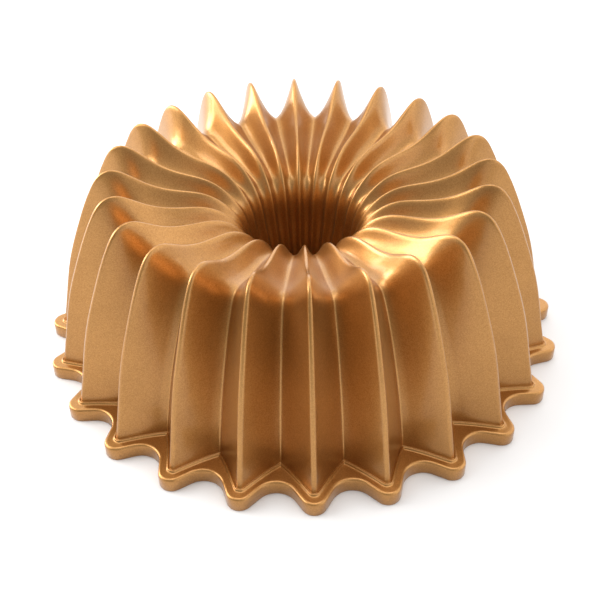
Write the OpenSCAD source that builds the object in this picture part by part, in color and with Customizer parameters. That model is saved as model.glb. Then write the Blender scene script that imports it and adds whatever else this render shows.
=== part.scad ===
// Fluted ring-cake pan: one aluminium casting, enamelled outside and lined inside. It stands upside
// down on its rim, as it is stored, with its cavity open below.
// Frame: millimetres, +Z up, origin on the axis of the centre tube at the plane that the rim stands on.

/* [Overall] */
// Diameter over the tips of the rim's lobes
overall_d = 264; // [240:1:290]
// Height from the rim's seat to the crests of the ridges
overall_h = 97.6; // [88:0.1:110]
// Ridges round the pan
flutes = 24; // [20:1:26]

/* [Metal and coatings] */
// Thickness of the cast wall
wall_t = 3; // [2.4:0.1:3.4]
// Thickness of the rim flange
flange_t = 7.3; // [5:0.1:9]
// Thickness of each coating
coat_t = 0.1; // [0.05:0.05:0.2]

/* [Rim outline] */
// Radius of the rounded lobe at each ridge
lobe_r = 6; // [5:0.1:6.5]
// Radius of the hollow between two lobes
hollow_r = 9.7; // [9:0.1:10]
// How far each hollow is cut in from the lobes' tips
hollow_depth = 12.4; // [11.6:0.1:12.8]

/* [Flutes] */
// How hollow each side of a ridge is on the outer wall: 0 is flat
wall_scoop = 0.4; // [0:0.05:0.9]
// How hollow each side of a ridge is over the crown and down the tube
crown_scoop = 0.85; // [0:0.05:0.9]

/* [Hidden] */

foot_r = overall_d / 2 - lobe_r;
wall_h = overall_h - flange_t;
pitch = 360 / flutes;

// Profile stations from the wall's foot, over the crown, to the tube's lower end. Each is
// [ridge radius, ridge height, valley radius, valley height], in per cent of foot_r and wall_h.
stations = [
    [100, 0, 86, 0],
    [96.8, 21, 82.5, 24],
    [92.8, 45, 77.7, 45.8],
    [87, 68, 72.7, 63.8],
    [79.9, 90.3, 68.3, 75.6],
    [75.5, 98.2, 65.8, 79.6],
    [71.6, 100, 63, 81],
    [66.1, 97.4, 58.5, 79.9],
    [58, 90.8, 52, 77.6],
    [48, 86.6, 44, 76],
    [38.8, 84.3, 36.5, 73.8],
    [32.3, 79.9, 30.5, 71],
    [26.8, 72.5, 26.3, 67],
    [23.4, 64.7, 24.2, 61.4],
    [20.4, 47.7, 22.2, 47],
    [17.2, 27.8, 18.8, 28],
    [13.8, -4, 15, -4],
];
last = len(stations) - 1;

// Points round one flute, as shares of the way from its ridge down to the valleys beside it
shares = [0, 0.5, 1, 0.5];
steps = len(shares);
around = flutes * steps;

// The scoop changes from the wall's to the crown's between these two stations
scoop_from = 2;
scoop_to = 5;
function crown_share(i) = min(max((i - scoop_from) / (scoop_to - scoop_from), 0), 1);
function scoop(i) = wall_scoop + (crown_scoop - wall_scoop) * crown_share(i);

// How far up from the valley to the ridge the side stands, at share u of the way across
function rise(i, u) = 1 - (1 + scoop(i)) * u + scoop(i) * u * u;

function ridge_at(i) = [stations[i][0] * foot_r, stations[i][1] * wall_h] / 100;
function valley_at(i) = [stations[i][2] * foot_r, stations[i][3] * wall_h] / 100;
function unit(v) = v / norm(v);
function outward(before, after) = unit([after.y - before.y, before.x - after.x]);
function ridge_normal(i) = outward(ridge_at(max(i - 1, 0)), ridge_at(min(i + 1, last)));
function valley_normal(i) = outward(valley_at(max(i - 1, 0)), valley_at(min(i + 1, last)));

// A layer that is measured square to a flute's sloping sides is deeper along its ridge and valley lines
function flute_depth(i) = (ridge_at(i) - valley_at(i)) * ridge_normal(i);
function half_width(i) = valley_at(i).x * sin(pitch / 2);
function slope(i, fall) = 2 * fall * flute_depth(i) / half_width(i);
function ridge_sink(i, depth) = depth * norm([1, slope(i, 1 - rise(i, 0.5))]);
function valley_sink(i, depth) = depth * norm([1, slope(i, rise(i, 0.5))]);

// A point moved inward by depth. The two ends of the profile stay in their own level planes.
function is_end(i) = i == 0 || i == last;
function moved_in(p, n, depth, level) = level ? [p.x - depth / n.x, p.y] : p - n * depth;
function ridge_in(i, depth) = moved_in(ridge_at(i), ridge_normal(i), ridge_sink(i, depth), is_end(i));
function valley_in(i, depth) = moved_in(valley_at(i), valley_normal(i), valley_sink(i, depth), is_end(i));

// The ring of points at station i, depth below the outer surface
function ring(i, depth) =
    let (top = ridge_in(i, depth), bottom = valley_in(i, depth))
    [for (j = [0 : around - 1])
        let (p = bottom + (top - bottom) * rise(i, shares[j % steps]), a = j * 360 / around)
        [p.x * cos(a), p.x * sin(a), p.y + flange_t]];
function at_seat(ring_points) = [for (p = ring_points) [p.x, p.y, 0]];

// A closed shell of the pan between two depths. to_seat takes it down through the flange to the seat.
module layer(outer, inner, to_seat) {
    outside = [for (i = [0 : last]) ring(i, outer)];
    inside = [for (i = [last : -1 : 0]) ring(i, inner)];
    foot = to_seat ? [at_seat(ring(0, inner)), at_seat(ring(0, outer))] : [];
    rows = concat(outside, inside, foot);
    count = len(rows);
    polyhedron(
        points = [for (row = rows) each row],
        faces = [for (i = [0 : count - 1], j = [0 : around - 1])
            let (
                a = i * around + j,
                b = i * around + (j + 1) % around,
                c = (i + 1) % count * around + (j + 1) % around,
                d = (i + 1) % count * around + j,
                // Both skins of a layer split their quads along the same lines, mirrored at each ridge
                split_ac = (i > last) != (j % steps < steps / 2)
            )
            each split_ac ? [[a, c, b], [a, d, c]] : [[a, d, b], [b, d, c]]],
        convexity = 12
    );
}

// An arc's points about centre c, from one angle to another
arc_steps = 6;
function arc(c, r, from, to) = [for (s = [0 : arc_steps])
    let (a = from + (to - from) * s / arc_steps) c + r * [cos(a), sin(a)]];
function turned(points, a) = [for (p = points)
    [p.x * cos(a) - p.y * sin(a), p.x * sin(a) + p.y * cos(a)]];

// The rim's edge, moved in by inset: a round lobe at each ridge and a round hollow at each valley
module rim_outline(inset) {
    lobe_c = [foot_r, 0];
    hollow_c = (overall_d / 2 - hollow_depth + hollow_r) * [cos(pitch / 2), sin(pitch / 2)];
    gap = hollow_c - lobe_c;
    tangent = atan2(gap.y, gap.x) - acos((lobe_r + hollow_r) / norm(gap));
    polygon([for (k = [0 : flutes - 1]) each turned(concat(
        arc(lobe_c, lobe_r - inset, -tangent, tangent),
        arc(hollow_c, hollow_r + inset, tangent + 180, pitch - tangent + 180)
    ), pitch * k)]);
}

// The rim's outline without the ground that the wall stands on
module rim_plan(inset) difference() {
    rim_outline(inset);
    polygon([for (p = ring(0, coat_t)) [p.x, p.y]]);
}

module cast_body() color("silver") {
    layer(coat_t, coat_t + wall_t, to_seat = true);
    linear_extrude(flange_t - coat_t) rim_plan(coat_t);
}

module exterior_coat() color("goldenrod") {
    layer(0, coat_t, to_seat = false);
    translate([0, 0, flange_t - coat_t]) linear_extrude(coat_t) rim_plan(0);
    linear_extrude(flange_t - coat_t) difference() {
        rim_outline(0);
        rim_outline(coat_t);
    }
}

module nonstick_lining() color("darkgoldenrod")
    layer(coat_t + wall_t, wall_t + 2 * coat_t, to_seat = true);

cast_body();
exterior_coat();
nonstick_lining();
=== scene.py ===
"""Looks for the fluted ring-cake pan: the smooth casting with its gold enamel and its nonstick lining."""

import math

import bpy
import numpy as np
from mathutils import Matrix, Vector


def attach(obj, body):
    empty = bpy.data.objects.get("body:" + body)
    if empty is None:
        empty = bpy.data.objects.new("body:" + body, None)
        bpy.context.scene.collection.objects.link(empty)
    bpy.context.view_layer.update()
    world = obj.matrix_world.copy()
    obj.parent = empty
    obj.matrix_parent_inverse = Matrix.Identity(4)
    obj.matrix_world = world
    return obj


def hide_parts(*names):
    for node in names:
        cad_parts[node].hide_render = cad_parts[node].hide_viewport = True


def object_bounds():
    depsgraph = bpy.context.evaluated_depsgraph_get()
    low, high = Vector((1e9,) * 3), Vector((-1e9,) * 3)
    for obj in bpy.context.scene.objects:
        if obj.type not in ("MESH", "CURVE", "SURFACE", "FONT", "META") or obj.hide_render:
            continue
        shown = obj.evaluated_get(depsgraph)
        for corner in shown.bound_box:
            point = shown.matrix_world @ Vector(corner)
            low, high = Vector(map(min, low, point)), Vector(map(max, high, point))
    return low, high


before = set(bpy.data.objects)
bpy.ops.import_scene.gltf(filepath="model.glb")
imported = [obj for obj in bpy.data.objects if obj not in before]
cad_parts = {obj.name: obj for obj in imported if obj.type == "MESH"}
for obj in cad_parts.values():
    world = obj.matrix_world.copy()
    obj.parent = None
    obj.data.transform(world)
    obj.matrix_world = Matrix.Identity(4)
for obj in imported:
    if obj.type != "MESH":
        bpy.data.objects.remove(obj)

MM = 0.001
CAD_LOW, CAD_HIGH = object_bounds()

# --- Sizes, in metres: the same driving dimensions as the part's -------------------------------
FLUTES = 24
LOBE_R = 6 * MM              # rounded lobe of the rim at each ridge
HOLLOW_R = 9.7 * MM          # rounded hollow between two lobes
HOLLOW_DEPTH = 12.4 * MM     # from the lobes' tips in to the bottom of a hollow
FLANGE_T = 7.3 * MM
WALL_T = 3.2 * MM            # metal and both coatings
COAT_T = 0.1 * MM
WALL_SCOOP, CROWN_SCOOP = 0.4, 0.85    # how hollow the flutes' sides are: 0 is flat
SCOOP_CHANGE = (2, 5)        # the stations between which the scoop changes
FOOT_R = (CAD_HIGH.x - CAD_LOW.x) / 2 - LOBE_R
WALL_H = CAD_HIGH.z - FLANGE_T
HALF_PITCH = math.pi / FLUTES

# Profile stations from the wall's foot, over the crown, to the tube's lower end, each
# [ridge radius, ridge height, valley radius, valley height] in per cent of FOOT_R and WALL_H
STATIONS = np.array([
    [100, 0, 86, 0],
    [96.8, 21, 82.5, 24],
    [92.8, 45, 77.7, 45.8],
    [87, 68, 72.7, 63.8],
    [79.9, 90.3, 68.3, 75.6],
    [75.5, 98.2, 65.8, 79.6],
    [71.6, 100, 63, 81],
    [66.1, 97.4, 58.5, 79.9],
    [58, 90.8, 52, 77.6],
    [48, 86.6, 44, 76],
    [38.8, 84.3, 36.5, 73.8],
    [32.3, 79.9, 30.5, 71],
    [26.8, 72.5, 26.3, 67],
    [23.4, 64.7, 24.2, 61.4],
    [20.4, 47.7, 22.2, 47],
    [17.2, 27.8, 18.8, 28],
    [13.8, -4, 15, -4],
]) / 100 * [FOOT_R, WALL_H, FOOT_R, WALL_H] + [0, FLANGE_T, 0, FLANGE_T]
LAST = len(STATIONS) - 1

# Rows of vertices between one station and the next: closest over the shoulder's tight curve
ROWS_PER_STEP = [6 if 4 <= i < 8 else 4 for i in range(LAST)]

# The top of each ridge: (station, half width of its flat land, softness of the land's edges)
RIDGE_TOP = np.array([
    (0, 1, 0.34),
    (4, 0.95, 0.36),
    (5, 0.85, 0.42),
    (6, 0.7, 0.55),
    (9, 0.75, 0.65),
    (11, 0.5, 0.6),
    (LAST, 0.3, 0.5),
]) * [1, MM, MM]
VALLEY_BLUR = 0.34 * MM      # softness of the valleys outside
INNER_BLUR = 0.7 * MM        # softness of every edge on the cavity side
MOST_RIDGE_BLUR = 0.2        # of the half pitch
MOST_VALLEY_BLUR = 0.12
BLUR_REACH = 3               # how far a blur reaches, in its own widths
BLUR_TAPS = 25
ACROSS_SAMPLES = 301         # of a flute's height before it is sampled for the mesh

# Where the samples across half a flute lie: shares of the way down its side, and the reach of the
# rounded edges beside it in widths of their blur
FLANK_SAMPLES = (0.22, 0.48, 0.74)
RIDGE_REACH, VALLEY_REACH = 1.7, 1.9


def natural_spline(x, y):
    """The cubic through the rows of y at x, with no bend at its ends, as a function."""
    n, h = len(x), np.diff(x)
    system, right = np.eye(n), np.zeros_like(y)
    for i in range(1, n - 1):
        system[i, i - 1:i + 2] = h[i - 1], 2 * (h[i - 1] + h[i]), h[i]
        right[i] = 6 * ((y[i + 1] - y[i]) / h[i] - (y[i] - y[i - 1]) / h[i - 1])
    bend = np.linalg.solve(system, right)

    def at(t):
        k = np.clip(np.searchsorted(x, t, side="right") - 1, 0, n - 2)
        w = h[k][:, None]
        a, b = (x[k + 1] - t)[:, None] / w, (t - x[k])[:, None] / w
        curve = ((a ** 3 - a) * bend[k] + (b ** 3 - b) * bend[k + 1]) * w ** 2 / 6
        return a * y[k] + b * y[k + 1] + curve

    return at


RIDGE_STEPS = np.hypot(*np.diff(STATIONS[:, :2], axis=0).T)
VALLEY_STEPS = np.hypot(*np.diff(STATIONS[:, 2:], axis=0).T)
STEP_LENGTHS = (RIDGE_STEPS + VALLEY_STEPS) / 2
ALONG = np.concatenate([[0], np.cumsum(STEP_LENGTHS)])
PROFILE = natural_spline(ALONG, STATIONS)


def unit(v):
    return v / np.linalg.norm(v, axis=-1, keepdims=True)


def scoop_at(station):
    """The sides grow more hollow from the wall to the crown."""
    return np.interp(station, SCOOP_CHANGE, [WALL_SCOOP, CROWN_SCOOP])


def rise(u, scoop):
    """How far up from the valley to the ridge the side stands, at share u of the way across."""
    return 1 - (1 + scoop) * u + scoop * u * u


def blurred_flutes(scoop, land, ridge_blur, valley_blur):
    """For each row, the flute's height against the share of the way across, with its edges rounded.
    The land and the blurs are shares of the half pitch, one for each row."""
    fine = np.linspace(0, 1, ACROSS_SAMPLES)
    reach = np.linspace(-BLUR_REACH, BLUR_REACH, BLUR_TAPS)
    weight = np.exp(-reach ** 2 / 2)
    weight /= weight.sum()
    heights = np.zeros((len(land), len(fine)))
    blur = ridge_blur[:, None] * (1 - fine) + valley_blur[:, None] * fine
    for w, r in zip(weight, reach):
        u = np.abs(fine[None, :] + r * blur)
        u = np.where(u > 1, 2 - u, u)
        across = np.clip((u - land[:, None]) / (1 - land[:, None]), 0, 1)
        heights += w * rise(across, scoop[:, None])
    bottom = heights[:, -1:]
    return fine, (heights - bottom) / (heights[:, :1] - bottom)


def ridge_top(station, half_pitch):
    """The land's half width and its edges' softness at a station, as shares of the half pitch."""
    land, blur = (np.interp(station, RIDGE_TOP[:, 0], RIDGE_TOP[:, k]) / half_pitch for k in (1, 2))
    return land, np.minimum(blur, MOST_RIDGE_BLUR)


def wall_rows(t, depth, inner):
    """Rows of points on the fluted wall at distances t along the profile, at a depth below the outer
    skin: an array of rows by samples by (radius, height), and the samples' shares of the half pitch."""
    p = PROFILE(t)
    step = 0.2 * MM
    tangent = PROFILE(np.minimum(t + step, ALONG[-1])) - PROFILE(np.maximum(t - step, 0))
    ridge, valley = p[:, :2], p[:, 2:]
    ridge_n = unit(np.stack([tangent[:, 1], -tangent[:, 0]], 1))
    valley_n = unit(np.stack([tangent[:, 3], -tangent[:, 2]], 1))
    station = np.interp(t, ALONG, np.arange(LAST + 1))
    scoop = scoop_at(station)
    half_width = valley[:, 0] * math.sin(HALF_PITCH)
    flute_depth = ((ridge - valley) * ridge_n).sum(1)
    ridge_slope = 2 * (1 - rise(0.5, scoop)) * flute_depth / half_width
    valley_slope = 2 * rise(0.5, scoop) * flute_depth / half_width
    ridge = ridge - ridge_n * (depth * np.hypot(1, ridge_slope))[:, None]
    valley = valley - valley_n * (depth * np.hypot(1, valley_slope))[:, None]

    half_pitch = ridge[:, 0] * HALF_PITCH
    land, soft = ridge_top(station, half_pitch)
    if inner:
        soft = np.minimum(INNER_BLUR / half_pitch, MOST_RIDGE_BLUR)
    crease = np.minimum((INNER_BLUR if inner else VALLEY_BLUR) / half_pitch, MOST_VALLEY_BLUR)
    fine, heights = blurred_flutes(scoop, land, soft, crease)
    edge_out, crease_in = land + RIDGE_REACH * soft, 1 - VALLEY_REACH * crease
    u = np.stack(
        [0 * land, 0.75 * land, np.maximum(land - 0.2 * soft, 0.85 * land), land + 0.7 * soft, edge_out]
        + [edge_out + (crease_in - edge_out) * s for s in FLANK_SAMPLES]
        + [crease_in, 1 + 0 * land], 1)
    height = np.stack([np.interp(row, fine, h) for row, h in zip(u, heights)])
    return valley[:, None, :] + (ridge - valley)[:, None, :] * height[:, :, None], u


def whole_ring(half):
    """A full ring of points from the (x, y, z) points of half a flute, ridge first, valley last."""
    # the mirrored half belongs to the next ridge's near side, so it is turned with that ridge
    mirrored = half[-2:0:-1] * [1, -1, 1]
    ring = []
    for k in range(FLUTES):
        for points, ridge in ((half, k), (mirrored, k + 1)):
            c, s = math.cos(2 * HALF_PITCH * ridge), math.sin(2 * HALF_PITCH * ridge)
            x, y, z = points.T
            ring.append(np.stack([x * c - y * s, x * s + y * c, z], 1))
    return np.concatenate(ring)


def wall_half(rz, u):
    """The (x, y, z) points of half a flute from their (radius, height) and angle shares."""
    a = u * HALF_PITCH
    return np.stack([rz[:, 0] * np.cos(a), rz[:, 0] * np.sin(a), rz[:, 1]], 1)


# --- Outlines in plan, for half a flute from its ridge to the valley ----------------------------
LOBE_POINTS, HOLLOW_POINTS, FOOT_POINTS = 40, 60, 400
NEARLY_ZERO = 1e-9


def length_shares(points):
    """How far along a polyline each of its points lies, from 0 to 1."""
    length = np.concatenate([[0], np.cumsum(np.linalg.norm(np.diff(points, axis=0), axis=1))])
    return length / length[-1]


def points_at(where, points, wanted):
    return np.stack([np.interp(wanted, where, points[:, k]) for k in (0, 1)], 1)


def offset_outline(points, distance, shares):
    """A plan outline moved outward by a distance and ended at the valley's plane, at shares of its
    length."""
    where = length_shares(points)
    tangent = np.gradient(points, axis=0)
    tangent[0] = 0, 1
    normal = unit(np.stack([tangent[:, 1], -tangent[:, 0]], 1))
    moved = points + normal * distance
    short_of_valley = moved[:, 0] * math.sin(HALF_PITCH) - moved[:, 1] * math.cos(HALF_PITCH)
    k = np.argmax(short_of_valley <= NEARLY_ZERO)
    end = np.interp(0, [short_of_valley[k], short_of_valley[k - 1]], [where[k], where[k - 1]])
    return points_at(where, moved, shares * end)


def rim_outline(inset, shares):
    """Half a lobe and half a hollow of the rim's edge, moved in by inset."""
    lobe = np.array([FOOT_R, 0.0])
    to_valley = np.array([math.cos(HALF_PITCH), math.sin(HALF_PITCH)])
    hollow = (FOOT_R + LOBE_R - HOLLOW_DEPTH + HOLLOW_R) * to_valley
    gap = hollow - lobe
    tangent = math.atan2(gap[1], gap[0]) - math.acos((LOBE_R + HOLLOW_R) / np.linalg.norm(gap))
    a = np.linspace(0, tangent, LOBE_POINTS)
    b = np.linspace(tangent + math.pi, HALF_PITCH + math.pi, HOLLOW_POINTS)
    convex = lobe + (LOBE_R - inset) * np.stack([np.cos(a), np.sin(a)], 1)
    concave = hollow + (HOLLOW_R + inset) * np.stack([np.cos(b), np.sin(b)], 1)
    outline = np.concatenate([convex, concave])
    return points_at(length_shares(outline), outline, shares)


def at_height(points, z):
    return np.concatenate([points, np.full((len(points), 1), z)], 1)


# --- The pan's whole coated surface, as rings of points -----------------------------------------
BEAD_H = 0.9 * MM            # fine bead round the wall's foot
BEAD_W = 1.2 * MM
# The bead's section, from the wall outwards: shares of its width and of its height
BEAD = [
    (0.06, 0.6), (0.2, 0.78), (0.42, 0.97), (0.65, 1), (0.87, 0.82),
    (1, 0.5), (1.08, 0.2), (1.25, 0.04), (1.6, 0),
]
BEAD_ROWS = 1.5              # the wall's rows start above this many times the bead's height
RIM_ROUND = 1.25 * MM        # rounding of the rim's upper edge
RIM_FLAT_END = 1.25          # where the rim's flat top ends, in roundings from its edge
RIM_MIDDLE = 0.45            # share of the way from the bead to there at which the top has a row
RIM_FOOT_ROUND = 0.5 * MM    # rounding of the rim's lower edge
MOUTH_ROUND = 1.3 * MM       # rounding of the cavity's mouth
TUBE_END_ROOM = 2.3 * MM     # length of the tube that its rounded end takes up
SEAT_ROWS = 2                # bare metal rows between the cavity's mouth and the rim's edge


def profile_distances():
    """Distances along the profile at which the wall has its rows."""
    out = []
    for i, n in enumerate(ROWS_PER_STEP):
        out.extend(ALONG[i] + (ALONG[i + 1] - ALONG[i]) * np.arange(n) / n)
    return np.array(out + [ALONG[-1] - TUBE_END_ROOM])


def outer_rings():
    """Rings from the rim's lower edge, over the flange, the wall and the crown, to the tube's end."""
    t = profile_distances()
    start = BEAD_H * ALONG[1] / (STATIONS[1, 1] - STATIONS[0, 1])
    t = np.concatenate([[start], t[t > start * BEAD_ROWS]])
    rz, u = wall_rows(t, 0, False)
    wall = [wall_half(rz[i], u[i]) for i in range(len(t))]

    # the wall's foot in plan, and the shares along it that double the wall's own samples
    fine_u = np.linspace(0, 1, FOOT_POINTS)
    angle = fine_u * HALF_PITCH
    foot = foot_radius(start, fine_u)[:, None] * np.stack([np.cos(angle), np.sin(angle)], 1)
    shares = np.interp(u[0], fine_u, length_shares(foot))
    shares = np.sort(np.concatenate([shares, (shares[1:] + shares[:-1]) / 2]))
    even = np.linspace(0, 1, len(shares))

    rows = []
    for out, up in BEAD:
        rows.append(at_height(offset_outline(foot, out * BEAD_W, shares), FLANGE_T + up * BEAD_H))
    near, far = rows[-1][:, :2], rim_outline(RIM_ROUND * RIM_FLAT_END, even)
    rows.append(at_height(near + (far - near) * RIM_MIDDLE, FLANGE_T))
    rows.append(at_height(far, FLANGE_T))
    for angle in np.radians([0, 22.5, 45, 67.5, 90]):
        inset, drop = RIM_ROUND * (1 - math.sin(angle)), RIM_ROUND * (1 - math.cos(angle))
        rows.append(at_height(rim_outline(inset, even), FLANGE_T - drop))
    for angle in np.radians([0, 45, 90]):
        inset, z = RIM_FOOT_ROUND * (1 - math.cos(angle)), RIM_FOOT_ROUND * (1 - math.sin(angle))
        rows.append(at_height(rim_outline(inset, even), z))
    rows.reverse()
    return [whole_ring(r) for r in rows] + [whole_ring(w) for w in wall]


def foot_radius(t, fine_u):
    """The radius of the wall's foot at each share of the way across."""
    p = PROFILE(np.array([t]))[0]
    half_pitch = np.array([p[0] * HALF_PITCH])
    start = np.zeros(1)
    land, soft = ridge_top(start, half_pitch)
    fine, heights = blurred_flutes(scoop_at(start), land, soft, VALLEY_BLUR / half_pitch)
    return p[2] + (p[0] - p[2]) * np.interp(fine_u, fine, heights[0])


def inner_rings():
    """Rings from the tube's end, up its cavity side, over the crown's underside and down to the seat."""
    t = profile_distances()[::-1]
    rz, u = wall_rows(t, WALL_T, True)
    wall = [wall_half(rz[i], u[i]) for i in range(len(t))]
    foot = wall[-1][:, :2]
    rows = []
    for angle in np.radians([0, 30, 60, 90]):
        out, z = MOUTH_ROUND * (1 - math.cos(angle)), MOUTH_ROUND * (1 - math.sin(angle))
        grown = foot * (1 + out / np.linalg.norm(foot, axis=1))[:, None]
        rows.append(at_height(grown, z))
    mouth = rows[-1][:, :2]
    near = np.empty((2 * len(mouth) - 1, 2))
    near[::2] = mouth
    near[1::2] = (mouth[1:] + mouth[:-1]) / 2
    far = rim_outline(RIM_FOOT_ROUND, np.linspace(0, 1, len(near)))
    seat = [at_height(near + (far - near) * (k + 1) / (SEAT_ROWS + 1), 0) for k in range(SEAT_ROWS)]
    return [whole_ring(w) for w in wall] + [whole_ring(r) for r in rows] + [whole_ring(s) for s in seat]


def tube_end(outer, inner):
    """Rings that round the tube's lower end, from its bore side to its cavity side."""
    middle, half = (outer + inner) / 2, (outer - inner) / 2
    width = np.linalg.norm(half[:, :2], axis=1)[:, None]
    rings = []
    for angle in np.radians([30, 60, 90, 120, 150]):
        ring = middle + half * math.cos(angle)
        ring[:, 2:] -= width * math.sin(angle)
        rings.append(ring)
    return rings


def ring_faces(rings, closed):
    """Faces between neighbouring rings. Where one has twice the other's points, each edge meets two."""
    starts = np.concatenate([[0], np.cumsum([len(r) for r in rings])])
    pairs = [(i, i + 1) for i in range(len(rings) - 1)]
    if closed:
        pairs.append((len(rings) - 1, 0))
    faces = []
    for i, k in pairs:
        a, b, n, m = starts[i], starts[k], len(rings[i]), len(rings[k])
        if n == m:
            j = np.arange(n)
            nxt = (j + 1) % n
            faces.extend(np.stack([a + j, a + nxt, b + nxt, b + j], 1).tolist())
        elif m == 2 * n:
            for j in range(n):
                nxt = (j + 1) % n
                p, q, r = b + 2 * j, b + 2 * j + 1, b + (2 * j + 2) % m
                faces += [[a + j, q, p], [a + j, a + nxt, q], [a + nxt, r, q]]
        else:
            for j in range(m):
                nxt = (j + 1) % m
                p, q, r = a + 2 * j, a + 2 * j + 1, a + (2 * j + 2) % n
                faces += [[p, q, b + j], [q, b + nxt, b + j], [q, r, b + nxt]]
    return faces


def surface_normals(points, faces):
    """A unit normal for each point, from the faces round it."""
    out = np.zeros_like(points)
    triangles = np.array([t for f in faces for t in ((f[0], f[1], f[2]), (f[0], f[2], f[-1]))[:len(f) - 2]])
    a, b, c = (points[triangles[:, k]] for k in (0, 1, 2))
    n = np.cross(b - a, c - a)
    for k in (0, 1, 2):
        np.add.at(out, triangles[:, k], n)
    return unit(out)


def mesh_piece(name, points, faces, material):
    mesh = bpy.data.meshes.new(name)
    mesh.from_pydata([tuple(p) for p in points], [], faces)
    mesh.validate()
    mesh.update()
    mesh.shade_smooth()
    mesh.materials.append(material)
    piece = bpy.data.objects.new(name, mesh)
    bpy.context.scene.collection.objects.link(piece)
    return piece


# --- Materials. Noise and flake scales are in cells per metre ------------------------------------
FLAKE_SCALE, SPECKLE_SCALE, PEEL_SCALE, CLOUD_SCALE = 2600, 1500, 260, 45
FLAKE_SHARE = 0.55           # of the colour's variation; slow clouds make the rest
ROUGHNESS_SPREAD = 0.04
GRAIN_DEPTH, PEEL_DEPTH = 0.05 * MM, 0.04 * MM
PEEL_STRENGTH = 0.25
CASTING_SCALE, CASTING_STRENGTH = 900, 0.4


def new_material(name):
    material = bpy.data.materials.new(name)
    material.use_nodes = True
    nodes = material.node_tree.nodes
    return material, nodes, material.node_tree.links, nodes["Principled BSDF"]


def noise(nodes, links, scale, detail, coordinates):
    node = nodes.new("ShaderNodeTexNoise")
    node.inputs["Scale"].default_value = scale
    node.inputs["Detail"].default_value = detail
    links.new(coordinates.outputs["Object"], node.inputs["Vector"])
    return node


def ramp(nodes, links, source, stops):
    node = nodes.new("ShaderNodeValToRGB")
    for i, (at, colour) in enumerate(stops):
        stop = node.color_ramp.elements[i] if i < 2 else node.color_ramp.elements.new(at)
        stop.position = at
        stop.color = (*colour, 1)
    links.new(source, node.inputs["Fac"])
    return node


def bump(nodes, links, source, strength, distance):
    node = nodes.new("ShaderNodeBump")
    node.inputs["Strength"].default_value = strength
    node.inputs["Distance"].default_value = distance
    links.new(source.outputs["Fac"], node.inputs["Height"])
    return node


def metallic_paint(name, dark, light, roughness, coat, coat_roughness, grain):
    """Satin metallic paint: flakes that vary in colour and tilt, over a faint orange peel."""
    material, nodes, links, shader = new_material(name)
    place = nodes.new("ShaderNodeTexCoord")
    flakes = nodes.new("ShaderNodeTexVoronoi")
    flakes.inputs["Scale"].default_value = FLAKE_SCALE
    links.new(place.outputs["Object"], flakes.inputs["Vector"])
    clouds = noise(nodes, links, CLOUD_SCALE, 3, place)
    shade = nodes.new("ShaderNodeMath")
    shade.operation = "MULTIPLY_ADD"
    shade.inputs[1].default_value = FLAKE_SHARE
    links.new(flakes.outputs["Color"], shade.inputs[0])
    slow = nodes.new("ShaderNodeMath")
    slow.operation = "MULTIPLY"
    slow.inputs[1].default_value = 1 - FLAKE_SHARE
    links.new(clouds.outputs["Fac"], slow.inputs[0])
    links.new(slow.outputs[0], shade.inputs[2])
    colour = ramp(nodes, links, shade.outputs[0], [(0.2, dark), (0.8, light)])
    links.new(colour.outputs["Color"], shader.inputs["Base Color"])
    shader.inputs["Metallic"].default_value = 0.92
    rough = nodes.new("ShaderNodeMapRange")
    rough.inputs["To Min"].default_value = roughness - ROUGHNESS_SPREAD
    rough.inputs["To Max"].default_value = roughness + ROUGHNESS_SPREAD
    links.new(clouds.outputs["Fac"], rough.inputs["Value"])
    links.new(rough.outputs["Result"], shader.inputs["Roughness"])
    shader.inputs["Coat Weight"].default_value = coat
    shader.inputs["Coat Roughness"].default_value = coat_roughness
    speckle = noise(nodes, links, SPECKLE_SCALE, 2, place)
    peel = noise(nodes, links, PEEL_SCALE, 2, place)
    fine = bump(nodes, links, speckle, grain, GRAIN_DEPTH)
    broad = bump(nodes, links, peel, PEEL_STRENGTH, PEEL_DEPTH)
    links.new(fine.outputs["Normal"], broad.inputs["Normal"])
    links.new(broad.outputs["Normal"], shader.inputs["Normal"])
    return material


def cast_metal():
    """Bare aluminium as it leaves the mould, with a fine sandy grain."""
    material, nodes, links, shader = new_material("cast_aluminium")
    place = nodes.new("ShaderNodeTexCoord")
    grain = noise(nodes, links, CASTING_SCALE, 4, place)
    dull, bright = (0.62, 0.62, 0.63), (0.8, 0.8, 0.81)
    colour = ramp(nodes, links, grain.outputs["Fac"], [(0.3, dull), (0.7, bright)])
    links.new(colour.outputs["Color"], shader.inputs["Base Color"])
    shader.inputs["Metallic"].default_value = 1
    shader.inputs["Roughness"].default_value = 0.5
    sandy = bump(nodes, links, grain, CASTING_STRENGTH, GRAIN_DEPTH)
    links.new(sandy.outputs["Normal"], shader.inputs["Normal"])
    return material


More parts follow.
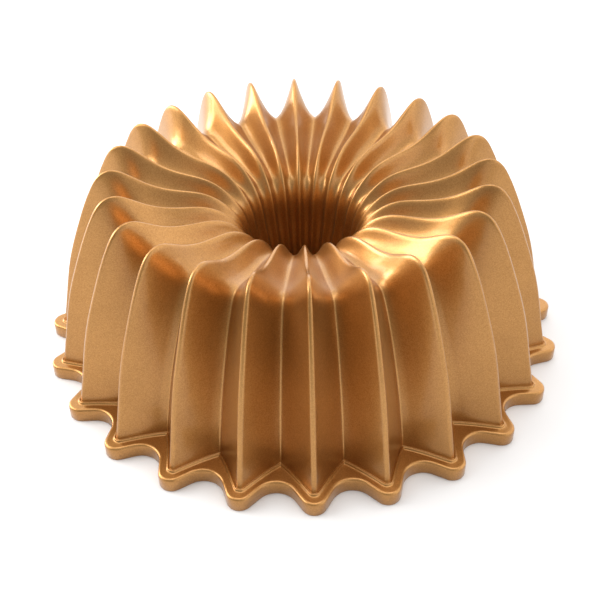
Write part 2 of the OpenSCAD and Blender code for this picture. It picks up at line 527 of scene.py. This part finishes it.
# --- The three pieces ---------------------------------------------------------------------------
def make_pan():
    outer, inner = outer_rings(), inner_rings()
    end = tube_end(outer[-1], inner[0])
    meeting = len(outer) + len(end) // 2
    rings = outer + end + inner
    starts = np.concatenate([[0], np.cumsum([len(r) for r in rings])])
    skin = np.concatenate(rings)
    faces = ring_faces(rings, True)
    metal = skin - surface_normals(skin, faces) * COAT_T

    gold = metallic_paint(
        "gold_enamel", dark=(0.345, 0.157, 0.038), light=(0.498, 0.248, 0.07),
        roughness=0.34, coat=0.5, coat_roughness=0.15, grain=0.25)
    bronze = metallic_paint(
        "nonstick", dark=(0.27, 0.17, 0.08), light=(0.4, 0.26, 0.13),
        roughness=0.42, coat=0.15, coat_roughness=0.35, grain=0.3)
    casting = mesh_piece("casting", metal, faces, cast_metal())

    def coat(name, chosen, material):
        """A closed coating over the chosen rings, between the skin and the metal."""
        picked = [rings[i] for i in chosen]
        at = np.concatenate([np.arange(starts[i], starts[i + 1]) for i in chosen])
        n = len(at)
        over = ring_faces(picked, False)
        under = [[i + n for i in reversed(f)] for f in over]
        a, b = len(picked[0]), len(picked[-1])
        edges = [[j, j + n, (j + 1) % a + n, (j + 1) % a] for j in range(a)]
        base = n - b
        edges += [[base + (j + 1) % b, base + (j + 1) % b + n, base + j + n, base + j] for j in range(b)]
        return mesh_piece(name, np.concatenate([skin[at], metal[at]]), over + under + edges, material)

    enamel = coat("gold_enamel_coat", list(range(meeting + 1)), gold)
    lining = coat("cavity_lining", list(range(meeting, len(rings) - SEAT_ROWS)), bronze)
    for piece, node, slot in (
        (casting, "cast_body", "cast_aluminium"),
        (enamel, "exterior_coat", "gold_enamel"),
        (lining, "nonstick_lining", "nonstick"),
    ):
        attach(piece, "root")
        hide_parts(node)


# --- Studio -------------------------------------------------------------------------------------
FLOOR_HALF_SIDE = 4


def make_floor():
    material, _, _, shader = new_material("pale_floor")
    shader.inputs["Base Color"].default_value = (0.8, 0.8, 0.8, 1)
    shader.inputs["Roughness"].default_value = 0.9
    mesh = bpy.data.meshes.new("floor")
    corners = [(x * FLOOR_HALF_SIDE, y * FLOOR_HALF_SIDE, 0) for x, y in ((-1, -1), (1, -1), (1, 1), (-1, 1))]
    mesh.from_pydata(corners, [], [(0, 1, 2, 3)])
    mesh.materials.append(material)
    floor = bpy.data.objects.new("floor", mesh)
    bpy.context.scene.collection.objects.link(floor)


# Soft boxes: (name, bearing, elevation, width, height, brightness). The bearing is from the camera's
# side of the pan towards its right.
SOFT_BOXES = [
    ("key", -108, 14, 0.55, 0.4, 7.2),
    ("key_side", -90, 22, 0.4, 0.4, 3.2),
    ("key_rear", -122, 6, 0.4, 0.4, 6),
    ("left", -96, 40, 0.9, 0.7, 3.6),
    ("right", 65, 25, 1.1, 0.8, 0.7),
    ("front", 30, 14, 0.8, 0.5, 0.5),
    ("overhead", 180, 82, 0.8, 0.7, 1.7),
]
BOX_DISTANCE = 1.3
ROOM_LEVEL = 1.2             # the room's white walls, level with the pan
ROOM_SLOPE = (0.25, 0.8, 0.1)# they are brighter towards the back and the right
AIM = Vector((0, 0, 0.07))


def soft_light(name, bearing, elevation, width, height, brightness):
    """A rectangular soft box that faces the pan."""
    light = bpy.data.lights.new(name, "AREA")
    light.shape = "RECTANGLE"
    light.size, light.size_y = width, height
    light.energy = brightness * math.pi * width * height
    box = bpy.data.objects.new(name, light)
    a, e = math.radians(bearing), math.radians(elevation)
    towards = Vector((math.sin(a) * math.cos(e), -math.cos(a) * math.cos(e), math.sin(e)))
    box.location = AIM + BOX_DISTANCE * towards
    box.rotation_euler = towards.to_track_quat("Z", "Y").to_euler()
    box.visible_camera = False
    bpy.context.scene.collection.objects.link(box)


def make_lights():
    for box in SOFT_BOXES:
        soft_light(*box)
    world = bpy.data.worlds.new("studio")
    world.use_nodes = True
    nodes, links = world.node_tree.nodes, world.node_tree.links
    place = nodes.new("ShaderNodeTexCoord")
    across = nodes.new("ShaderNodeVectorMath")
    across.operation = "DOT_PRODUCT"
    across.inputs[1].default_value = ROOM_SLOPE
    level = nodes.new("ShaderNodeMath")
    level.operation = "ADD"
    level.inputs[1].default_value = ROOM_LEVEL
    links.new(place.outputs["Generated"], across.inputs[0])
    links.new(across.outputs["Value"], level.inputs[0])
    links.new(level.outputs["Value"], nodes["Background"].inputs["Strength"])
    nodes["Background"].inputs["Color"].default_value = (1, 1, 1, 1)
    bpy.context.scene.world = world
    bpy.context.scene.view_settings.view_transform = "Standard"


CAMERA_TURN = -1.758         # degrees round the pan, from facing a ridge squarely
CAMERA_HEADING, CAMERA_DOWN, CAMERA_ROLL = 0.018, 38.587, -0.856
CAMERA_BACK = 3.2376 * FOOT_R
CAMERA_HEIGHT = 2.6284 * FOOT_R + FLANGE_T


def make_camera():
    """The camera looks a little down on a ridge that is turned slightly to its right."""
    lens = bpy.data.cameras.new("camera")
    lens.sensor_width = 36
    lens.lens = 59.1
    lens.shift_x, lens.shift_y = -0.0039, 0.0055
    lens.clip_end = 50
    camera = bpy.data.objects.new("camera", lens)
    turned = Matrix.Rotation(math.radians(CAMERA_TURN), 4, "Z")
    place = Matrix.Translation((0, -CAMERA_BACK, CAMERA_HEIGHT))
    heading, pitch, roll = (
        Matrix.Rotation(math.radians(angle), 4, axis)
        for angle, axis in ((CAMERA_HEADING, "Z"), (90 - CAMERA_DOWN, "X"), (CAMERA_ROLL, "Z")))
    camera.matrix_world = turned @ place @ heading @ pitch @ roll
    bpy.context.scene.collection.objects.link(camera)
    bpy.context.scene.camera = camera


make_camera()
make_pan()
make_floor()
make_lights()
